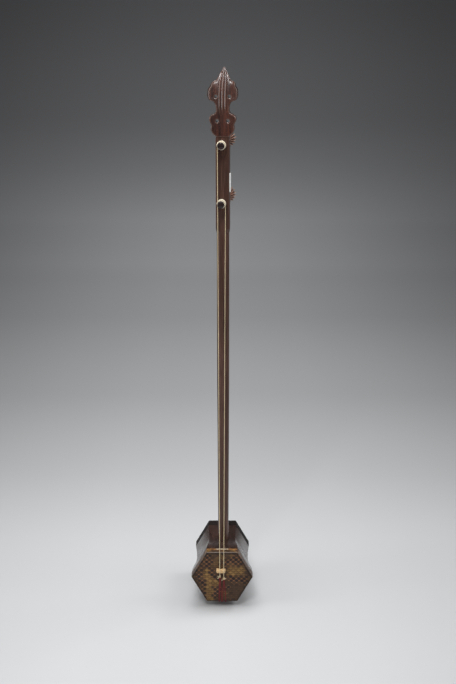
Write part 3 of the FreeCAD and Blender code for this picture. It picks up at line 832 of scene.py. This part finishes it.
def patch_strengths(cell_a, cell_b, u, v):
    """How strongly the tan and the dark patches reach each place's scale. Beyond the front they ripple."""
    centre_u = SCALE_AT[0] + (cell_a + cell_b) / 2 * SCALE_WIDE
    centre_v = SCALE_AT[1] + (cell_a - cell_b) / 2 * SCALE_HIGH
    tan = patch_field(centre_u, centre_v, TAN_PATCHES) + 0.2 * (cell_random(cell_a, cell_b, 1) - 0.5)
    ink = patch_field(centre_u, centre_v, INK_PATCHES) + 0.3 * (cell_random(cell_a, cell_b, 2) - 0.5)
    ripple = np.sin(centre_u * 0.19 + 1.3) * np.sin(centre_v * 0.17 + 0.4)
    beyond = smooth(hexagon_reach(u, v), 40, 44) * (np.abs(u) > v * 0.577)
    return tan + beyond * 0.6 * np.clip(ripple, 0, 1), ink + beyond * 0.8 * np.clip(-ripple, 0, 1)


def skin_pattern(u, v):
    """Relief height, furrow share and colour of the skin at places on the unrolled skin."""
    cell_a, cell_b, da, db = scale_cells(u, v)
    edge = np.maximum(np.abs(da), np.abs(db)) * 2
    meeting = np.minimum(np.abs(da), np.abs(db)) * 2
    round_edge = (np.abs(2 * da) ** 3 + np.abs(2 * db) ** 3) ** (1 / 3)
    relief = 1 - smooth(round_edge, 0.55, 1.0)
    furrow = smooth(edge, 0.8, 0.99)
    tan, ink = patch_strengths(cell_a, cell_b, u, v)
    fleck = cell_random(cell_a, cell_b, 4)
    tan_share = np.maximum(smooth(tan, 0.36, 0.6), 0.35 * smooth(fleck, 0.72, 0.8))
    tan_share = tan_share * (1 - 0.55 * smooth(edge, 0.5, 0.95))
    ink_share = smooth(ink, 0.38, 0.56) * (0.6 + 0.4 * cell_random(cell_a, cell_b, 5))
    ink_share = ink_share * (1 - 0.75 * smooth(edge, 0.5, 0.92))
    crossing = 0.35 * smooth(edge, 0.7, 0.95) + 0.65 * smooth(meeting, 0.45, 0.85)
    near_ink = np.maximum(smooth(ink, 0.25, 0.5), 0.28 * smooth(fleck, 0.2, 0.5))
    streak = 0.86 + 0.14 * np.sin(v * math.tau / (SCALE_HIGH / 2) + 0.8)
    tone = (0.66 + 0.62 * cell_random(cell_a, cell_b, 3)) * streak
    side_shade = 1 - 0.35 * smooth(np.abs(u), 26, 42)
    colour = blend(BROWN, TAN, tan_share)
    colour = blend(colour, INK, ink_share)
    colour = blend(colour, SPOT, crossing * near_ink)
    return relief, furrow, colour * (tone * side_shade)[:, None]


def hexagon_reach(u, v):
    """How large a hexagon about the box's axis goes through a place: its centre to flat."""
    return np.maximum(np.abs(u) * 0.866 + np.abs(v) * 0.5, np.abs(v))


def paint_fold_light_and_cut_edge(colour, u, v, fold, end):
    """Darken the front's border at the fold with painted shade, paint a grey highlight on the fold,
    strongest on the top, and lighten the cut edge, stained orange at its ends.
    """
    reach = hexagon_reach(u, v)
    # painted shade: a dark band on the front just inside the fold
    fold_shade = smooth(reach, fold - 1.7, fold - 0.7) * (1 - smooth(reach, fold, fold + 0.5))
    on_top = 0.25 + 0.75 * (v > np.abs(u) * 1.732 - 0.5)
    # painted highlight: a grey band on the fold's rounding, strongest on the top
    fold_highlight_band = smooth(reach, fold + 0.4, fold + 0.9) * (1 - smooth(reach, fold + 1.9, fold + 2.6))
    cut = smooth(reach, end - 3.2, end - 2.4) * on_top
    pale = blend(CREAM, STAIN, smooth(np.abs(u), 8, 15))
    colour = colour * (1 - 0.75 * fold_shade[:, None])
    colour = blend(colour, FOLD_HIGHLIGHT, 0.4 * fold_highlight_band * on_top)
    return blend(colour, pale, cut)


def skin_ring(apothem, y=SKIN_FRONT):
    return hexagon_ring(apothem, y, SKIN_PER_SIDE, min(SKIN_CORNER, apothem * 0.4))


def skin_rings():
    """Rings over the front, round the fold and along the sides, and the same rings laid out flat."""
    reach = FRONT_APOTHEM - FOLD_RADIUS
    rings = [skin_ring(apothem) for apothem in np.concatenate([[0.4], np.arange(1.2, reach, SKIN_STEP)])]
    unrolled = [ring.copy() for ring in rings]
    for step in np.linspace(0, 1, 5):
        bend = step * math.pi / 2
        y = SKIN_FRONT + FOLD_RADIUS - FOLD_RADIUS * math.cos(bend)
        rings.append(skin_ring(reach + FOLD_RADIUS * math.sin(bend), y))
        unrolled.append(skin_ring(reach + FOLD_RADIUS * bend))
    reach += FOLD_RADIUS * math.pi / 2 - SKIN_FRONT - FOLD_RADIUS
    for y in np.arange(SKIN_FRONT + FOLD_RADIUS + SKIN_STEP, WRAP_END, SKIN_STEP):
        rings.append(skin_ring(FRONT_APOTHEM, y))
        unrolled.append(skin_ring(reach + y))
    return np.array(rings), np.vstack(unrolled), reach + WRAP_END


def sink_furrows(verts, relief):
    """Lower the places between the scales, along the surface's own direction."""
    out = verts - np.array([BOX_X, 0, BOX_Z])
    side_share = np.clip((verts[:, 1] - SKIN_FRONT) / FOLD_RADIUS, 0, 1)[:, None]
    out[:, 1] = 0
    out /= np.maximum(np.linalg.norm(out, axis=1), 1e-6)[:, None]
    direction = out * side_share + np.array([0, -1.0, 0]) * (1 - side_share)
    return verts + direction * ((relief - 1) * SCALE_RISE)[:, None]


def make_skin():
    rings, flat, end = skin_rings()
    u = flat[:, 0] - BOX_X
    v = flat[:, 2] - BOX_Z
    relief, furrow, colour = skin_pattern(u, v)
    colour = paint_fold_light_and_cut_edge(colour, u, v, FRONT_APOTHEM - FOLD_RADIUS, end)
    count, size, _ = rings.shape
    faces = loft_faces(count, size, True, False)
    faces.append(tuple(range(size)))
    skin = new_object("snakeskin_piece", sink_furrows(rings.reshape(-1, 3), relief), faces)
    paint = skin.data.color_attributes.new("scale_colour_and_painted_light", "FLOAT_COLOR", "POINT")
    paint.data.foreach_set("color", np.column_stack([colour, np.ones(len(colour))]).ravel())
    dips = skin.data.attributes.new("furrow", "FLOAT", "POINT")
    dips.data.foreach_set("value", furrow)
    face_outward(skin)
    shell = skin.modifiers.new("thickness", "SOLIDIFY")
    shell.thickness = (SKIN_THICKNESS - 0.2) * MM
    shell.offset = -1
    shell.material_offset_rim = 1
    skin.data.materials.append(SKIN)
    skin.data.materials.append(SKIN_EDGE)
    apply_modifiers(skin)
    settle(skin, "root", "snakeskin", None, "snakeskin")


def face_outward(obj):
    """Flip the faces of an open shell so that they look away from the box's centre."""
    total = sum((poly.center - BOX_CENTRE).dot(poly.normal) * poly.area for poly in obj.data.polygons)
    if total < 0:
        obj.data.flip_normals()


# ---- bridge, strings and ties

BRIDGE_CREST = BRIDGE_LOW[1]
BRIDGE_HALF = (BRIDGE_HIGH[0] - BRIDGE_LOW[0]) / 2
NOTCH_RADIUS = 0.72
# places from one long side of the bridge to the other, and how far the outline shrinks there
BRIDGE_LAYERS = ((0.0, 0.35), (0.08, 0.1), (0.3, 0.0), (0.7, 0.0), (0.92, 0.1), (1.0, 0.35))


def bridge_outline():
    """Outline seen from above: across, and out from the skin, with an arch in the foot."""
    half = BRIDGE_HALF
    foot = BRIDGE_HIGH[1]
    waist = BRIDGE_CREST + (foot - BRIDGE_CREST) * 0.4
    right = [(half - 0.6, foot), (half, foot - 0.6), (half - 0.5, waist), (half - 0.9, BRIDGE_CREST + 1.0),
             (half - 1.8, BRIDGE_CREST + 0.25)]
    left = [(-x, y) for x, y in reversed(right)]
    arch = [(2.2 * math.cos(t), foot - 2.0 * math.sin(t)) for t in np.linspace(0, math.pi, 15)]
    return right + left + arch[::-1]


def make_bridge():
    centre_x = (BRIDGE_LOW[0] + BRIDGE_HIGH[0]) / 2
    rings = []
    for share, shrink in BRIDGE_LAYERS:
        z = BRIDGE_LOW[2] + share * (BRIDGE_HIGH[2] - BRIDGE_LOW[2])
        bulge = 0.35 * (1 - (2 * share - 1) ** 2)
        ring = []
        for x, y in bridge_outline():
            near_crest = smooth(-(y - BRIDGE_CREST), -2.0, 0.0)
            out = y + shrink * 0.4 - near_crest * (bulge - 0.35)
            ring.append((centre_x + x * (1 - shrink / BRIDGE_HALF), out, z))
        rings.append(ring)
    bridge = loft("bridge_piece", rings, SMALL_CREASE)
    for string in STRINGS.values():
        x, y = string["at_bridge"], BRIDGE_CREST - 0.42
        cut(bridge, cylinder((x, y, BRIDGE_LOW[2] - 3), (x, y, BRIDGE_HIGH[2] + 3), NOTCH_RADIUS, 24))
    crease(bridge, SMALL_CREASE)
    settle(bridge, "root", "bamboo", BAMBOO, "bridge")


STRINGS = {
    "left_string": {"side": -1, "peg_z": UPPER_PEG_Z, "away": 5.6, "at_bridge": -5.1, "knot_z": 53.0},
    "right_string": {"side": 1, "peg_z": LOWER_PEG_Z, "away": 5.8, "at_bridge": 0.8, "knot_z": 49.5},
}
STRING_LEAVES = -18.0


def string_points(name):
    """Tangent point on the winding, crest on the bridge and knot of a string."""
    string = STRINGS[name]
    x = string["at_bridge"]
    top = turned([[PEG_SHIFT + string["side"] * string["away"], STRING_LEAVES, string["peg_z"]]])[0]
    crest = np.array([x, BRIDGE_CREST - STRING_RADIUS + 0.12, (BRIDGE_LOW[2] + BRIDGE_HIGH[2]) / 2])
    edge = np.array([x, SKIN_FRONT - TIE_RADIUS, SKIN_LOW[2]])
    knot = crest + (edge - crest) * (crest[2] - string["knot_z"]) / (crest[2] - edge[2])
    return top, crest, knot


def make_string(name):
    top, crest, knot = string_points(name)
    corners = [top, crest + (top - crest) * 0.004, crest, crest + (knot - crest) * 0.4, knot]
    pieces = [twisted_cord(even_path(np.array(corners), 0.35), STRING_RADIUS, 3.2)]
    pieces += make_knot(knot, STRINGS[name]["side"])
    string = join(f"{name}_piece", pieces)
    settle(string, "root", "silk_string", STRING_SILK, name)


def make_knot(knot, side):
    """Overhand knot: two tight turns and two loose ends that thin out."""
    turns = np.linspace(0, 4.4 * math.pi, 90)
    coil = np.column_stack([1.15 * np.cos(turns), 0.95 * np.sin(turns), -1.5 + 3.0 * turns / turns[-1]])
    pieces = [twisted_cord(even_path(knot + coil, 0.3), 0.55, 2.6)]
    ends = [
        [(0.6, -0.6, 0.4), (1.2 * side, -1.4, -0.3), (2.6 * side, -1.5, 0.9), (3.4 * side, -1.1, 2.0)],
        [(-0.4, -0.5, -0.8), (-1.6, -1.3, -1.6), (-3.0, -1.2, -2.1), (-4.0, -0.8, -1.6)],
    ]
    for shape in ends:
        path = dense_path(knot + np.array(shape), 0.3)
        pieces.append(twisted_cord(path, 0.42, 2.4, taper_end=0.5))
    return pieces


# the string that each tie holds, and where its two strands cross the lower front edge
TIE_PLACES = {
    "left_tail_tie": ("left_string", (-6.1, -2.5)),
    "right_tail_tie": ("right_string", (-0.7, 3.8)),
}
TIE_PITCH = 3.0
TIE_LAY = 0.28           # depth of the grooves between a tie's strands, as a share of its radius


def make_tie(name):
    string_name, places = TIE_PLACES[name]
    _, _, knot = string_points(string_name)
    before = SKIN_FRONT - TIE_RADIUS - 0.05
    below = SKIN_LOW[2] - TIE_RADIUS
    landing = (BINDING_LOW[2] + BINDING_HIGH[2]) / 2
    pieces = []
    for lean, place in zip((-1, 1), places):
        start = knot + np.array([(place - knot[0]) * 0.15, -0.2, -1.0])
        run_in = np.array([place, before, SKIN_LOW[2] + FOLD_RADIUS])
        bend = np.array([place, SKIN_FRONT - 0.05, SKIN_LOW[2] - 0.05])
        run_out = np.array([place, SKIN_FRONT + FOLD_RADIUS, below])
        foot = np.array([lean * 3.2, -8.4, landing])
        middle = start + (run_in - start) * 0.5 + np.array([0.25 * lean, -0.15, 0])
        after = run_out + (foot - run_out) * 0.1
        path = dense_path([start, middle, run_in, bend, run_out, after, foot], 0.4)
        pieces.append(twisted_cord(path, TIE_RADIUS, TIE_PITCH, depth=TIE_LAY))
    hitch = np.linspace(0, 3 * math.pi, 60)
    rise = -1.9 + 0.5 * np.sin(hitch * 0.5)
    loop = even_path(knot + np.column_stack([1.5 * np.cos(hitch), 0.9 * np.sin(hitch) - 0.1, rise]), 0.35)
    pieces.append(twisted_cord(loop, 0.6, TIE_PITCH, depth=TIE_LAY))
    tie = join(f"{name}_piece", pieces)
    settle(tie, "root", "red_silk", RED_SILK, name)


def make_binding():
    """Red silk wound round the stub in two layers."""
    height = 4.6
    pieces = []
    for radius, turns, start in ((STUB_RADIUS + 0.6, 3.6, 0.7), (STUB_RADIUS + 1.35, 2.6, 1.2)):
        turn = np.linspace(0, math.tau * turns, int(90 * turns))
        rise = start + (height - 2 * start) * turn / turn[-1]
        helix = about_z(radius, turn, BINDING_LOW[2] + rise)
        pieces.append(twisted_cord(even_path(helix, 0.4), 0.66, 3.0, depth=0.25))
    binding = join("tail_binding_piece", pieces)
    settle(binding, "root", "red_silk", RED_SILK, "tail_binding")


# ---- pegs and windings

def lay_along_peg(obj, height):
    """From a peg's own frame, +Z from its front end to its head, to its place in the neck."""
    upright = Matrix.Rotation(-math.pi / 2, 4, "X")
    start = TWIST @ Vector((PEG_SHIFT * MM, PEG_FRONT * MM, height * MM))
    obj.data.transform(Matrix.Translation(start) @ TWIST.to_4x4() @ upright)


# places along a peg and its radius there: first the knob at its front end, then the thin tip under the
# winding, the journal in the neck, the stem, the flared head and the button
PEG_KNOB = [
    (0.0, 3.9), (0.3, 4.6), (0.8, 5.0), (1.7, 5.1), (2.6, 4.9), (3.1, 4.4), (PEG_KNOB_END, PEG_TIP_RADIUS),
]
PEG_PROFILE = [
    (PEG_KNOB_END, PEG_TIP_RADIUS), (PEG_JOURNAL[0] - 0.3, PEG_TIP_RADIUS), (PEG_JOURNAL[0], 5.15),
    (PEG_JOURNAL[1], 5.15),
    (PEG_JOURNAL[1] + 0.4, 6.0), (PEG_JOURNAL[1] + 1.2, 6.2), (60.0, 5.3), (PEG_HEAD_START - 1.0, 4.4),
    (PEG_HEAD_START + 0.5, 5.3), (90.0, 7.2), (100.0, 9.3), (110.0, 11.6), (PEG_HEAD_END - 1.0, 13.7),
    (PEG_HEAD_END, PEG_HEAD_RADIUS), (PEG_HEAD_END + 1.2, 13.3), (PEG_HEAD_END + 3.0, 12.0),
    (PEG_HEAD_END + 5.0, 10.3), (PEG_LENGTH - 0.6, 8.7), (PEG_LENGTH, 7.6),
]


def make_knob(peg_name, height):
    rings = [circle_about(np.array([0, 0, along]), (0, 0, 1), radius, 96) for along, radius in PEG_KNOB]
    knob = loft(f"{peg_name}_knob", rings, KNOB_CREASE)
    lay_along_peg(knob, height)
    settle(knob, peg_name, "peg_wood", KNOB_WOOD)


def make_peg(name, height):
    """Peg with a fluted head. Its knob is a piece of its own, because it is darker."""
    make_knob(name, height)
    turn = full_turn(PEG_SIDES)
    marks, radii = np.array(PEG_PROFILE).T
    stations = np.unique(np.concatenate([marks, np.arange(PEG_HEAD_START, PEG_LENGTH, 1.0)]))
    valley = np.abs(np.cos(FLUTES * turn / 2)) ** 1.3
    rings = []
    for along in stations:
        fade = smooth(along, PEG_HEAD_START, PEG_HEAD_START + 12)
        fade *= 1 - 0.8 * smooth(along, PEG_HEAD_END + 2, PEG_LENGTH)
        section = np.interp(along, marks, radii) * (1 - FLUTE_DEPTH * fade * valley)
        rings.append(about_z(section, turn, along))
    peg = loft(f"{name}_piece", rings, SMALL_CREASE)
    lay_along_peg(peg, height)
    settle(peg, name, "peg_wood", PEG_WOOD, name)


# layers of a winding: radius, first and last place along the peg, turns
WOUND_LAYERS = ((4.42, 7.9, 19.1, 9.0), (5.45, 8.6, 18.4, 7.8), (5.9, 15.6, 9.6, 3.0))
WOUND_RADIUS = 0.62


def make_winding(name, body, height, seed):
    """String wound on the peg: two layers with slightly uneven turns, and a few crossing turns on them."""
    wobble = np.random.default_rng(seed)
    pieces = []
    for radius, start, end, turns in WOUND_LAYERS:
        knots = wobble.normal(0, 0.12, int(turns) + 3)
        turn = np.linspace(0, math.tau * turns, int(72 * turns))
        along = start + (end - start) * turn / turn[-1]
        along = along + np.interp(turn / (math.tau), np.arange(len(knots)), knots)
        swell = radius + 0.06 * np.sin(turn * 0.37 + seed)
        path = even_path(about_z(swell, turn, along), 0.45)
        pieces.append(twisted_cord(path, WOUND_RADIUS, 3.0, sides=10, depth=0.18))
    winding = join(f"{name}_piece", pieces)
    lay_along_peg(winding, height)
    settle(winding, body, "silk_string", WOUND_SILK, name)


# ---- paper label

def make_label():
    """Blank paper strip on the neck's right side: it bows off the wood and its lower corners are lifted."""
    half = 7.6
    bow = 1.4
    bottom = LABEL_LOW[2]
    columns = np.linspace(-half, half, 20)
    rows = np.linspace(bottom, LABEL_HIGH[2], 34)
    verts = []
    for z in rows:
        for y in columns:
            corner = smooth(abs(y), half - 3, half) * smooth(-z, -bottom - 4, -bottom)
            lift = 0.1 + bow * (1 - (y / half) ** 2) + 0.22 * float(corner) + 0.03 * math.sin(z * 0.8)
            trim = 0.12 * math.sin(z * 1.7) if abs(y) > half - 0.1 else 0.0
            verts.append((FLAT_WIDTH / 2 + lift, y + trim, z))
    faces = loft_faces(len(rows), len(columns), closed=False)
    label = new_object("collection_label_piece", turned(verts), faces)
    thick = label.modifiers.new("paper", "SOLIDIFY")
    thick.thickness = 0.12 * MM
    thick.offset = 0
    apply_modifiers(label)
    settle(label, "root", "label_paper", PAPER, "collection_label")


# ---- stage, lights and camera

# distance behind the object along the backdrop, in metres, and the backdrop's grey there: painted light and
# shade for how the lamps' light falls off over the floor and sweep
BACKDROP_PAINTED_LIGHT = [
    (-30.0, 0.58), (-2.0, 0.6), (-0.2, 0.6), (0.2, 0.55), (0.5, 0.455), (1.0, 0.39), (1.8, 0.455),
    (2.6, 0.65), (3.1, 0.62), (3.55, 0.42), (3.9, 0.31), (4.3, 0.28), (4.7, 0.23), (7.0, 0.2), (20.0, 0.2),
]
SWEEP_START = 2.4
SWEEP_RADIUS = 2.6
SWEEP_LENGTH = SWEEP_RADIUS * math.pi / 2


def backdrop_place(length):
    """Depth and height of the backdrop at a distance along it: flat, then a quarter turn, then upright."""
    bend = min(max(length - SWEEP_START, 0) / SWEEP_RADIUS, math.pi / 2)
    rise = max(length - SWEEP_START - SWEEP_LENGTH, 0)
    return (min(length, SWEEP_START) + SWEEP_RADIUS * math.sin(bend),
            SWEEP_RADIUS * (1 - math.cos(bend)) + rise)


def backdrop_material():
    shader = Shader("floor_paper", roughness=0.8, specular=0.2)
    grey = shader.attribute("backdrop_painted_light")
    colour = shader.mix(1.0, grey, (0.985, 1.0, 1.012), blend="MULTIPLY")
    tooth = shader.noise((0.4, 0.4, 0.4), detail=3)
    return shader.finish(colour, None, shader.bump(tooth, 0.05, 0.1))


def make_floor():
    """Pale floor that sweeps up behind the object, with painted light and shade by distance and painted
    shade to the sides.
    """
    lengths = np.concatenate([np.linspace(-16, -1, 12), np.linspace(-0.9, SWEEP_START, 56),
                              np.linspace(SWEEP_START + 0.1, SWEEP_START + SWEEP_LENGTH, 48), [8.0, 12.0]])
    sides = np.concatenate([[-14, -8], np.linspace(-3, 3, 31), [8, 14]])
    marks, greys = np.array(BACKDROP_PAINTED_LIGHT).T
    verts = []
    tones = []
    for length in lengths:
        y, z = backdrop_place(length)
        # painted light: the bright centre widens up the sweep, and the grey falls off to the sides as
        # painted shade
        spread = np.interp(length, [3.0, 3.9], [0.97, 1.5])
        for x in sides:
            verts.append((x, y, z))
            aside = np.clip(x + 0.05, -1.2, 1.2) / spread
            tones.append(np.interp(length, marks, greys) / (1 + aside ** 2))
    faces = [tuple(reversed(face)) for face in loft_faces(len(lengths), len(sides), closed=False)]
    floor = new_object("floor", np.array(verts) / MM, faces)
    tone = floor.data.attributes.new("backdrop_painted_light", "FLOAT", "POINT")
    tone.data.foreach_set("value", tones)
    floor.data.materials.append(backdrop_material())


# name, place, height of the point it looks at, width, height and power
SOFTBOXES = [
    ("overhead_softbox", (-0.15, 0.25, 2.3), 0.3, 1.6, 1.2, 34),
    ("left_softbox", (-1.9, -0.5, 1.1), 0.4, 0.8, 1.8, 13),
    ("right_softbox", (1.9, -0.3, 1.1), 0.4, 0.6, 1.8, 7),
    ("high_front_softbox", (-0.25, -1.45, 2.02), 0.75, 0.5, 0.55, 19),
    ("high_right_softbox", (1.0, 0.5, 1.5), 0.66, 0.5, 0.5, 7),
]


def add_softbox(name, place, target_z, width, height, power):
    lamp = bpy.data.lights.new(name, "AREA")
    lamp.shape = "RECTANGLE"
    lamp.size = width
    lamp.size_y = height
    lamp.energy = power
    made = add_object(name, lamp)
    made.location = place
    made.rotation_euler = (Vector((0, 0, target_z)) - Vector(place)).to_track_quat("-Z", "Y").to_euler()


def make_lights():
    for softbox in SOFTBOXES:
        add_softbox(*softbox)
    world = bpy.data.worlds.new("studio")
    bpy.context.scene.world = world
    world.use_nodes = True
    set_inputs(world.node_tree.nodes["Background"], {"Color": (0.3, 0.3, 0.31, 1), "Strength": 0.7})


FOCAL_LENGTH = 62.58
CAMERA_PLACE = (0.0071, -1.6911, 0.8429)
CAMERA_PITCH = 14.82


def make_camera():
    lens = bpy.data.cameras.new("camera")
    lens.lens = FOCAL_LENGTH
    lens.sensor_width = 36
    camera = add_object("camera", lens)
    camera.location = CAMERA_PLACE
    camera.rotation_euler = (math.radians(90 - CAMERA_PITCH), 0, 0)
    bpy.context.scene.camera = camera
    bpy.context.scene.view_settings.view_transform = "Standard"


# ---- build

make_camera()
make_floor()
make_lights()
make_neck()
make_head()
make_staves()
make_rim()
make_skin()
make_bridge()
for string_node in STRINGS:
    make_string(string_node)
for tie_node in TIE_PLACES:
    make_tie(tie_node)
make_binding()
make_peg("upper_peg", UPPER_PEG_Z)
make_peg("lower_peg", LOWER_PEG_Z)
make_winding("upper_winding", "upper_peg", UPPER_PEG_Z, 3)
make_winding("lower_winding", "lower_peg", LOWER_PEG_Z, 8)
make_label()
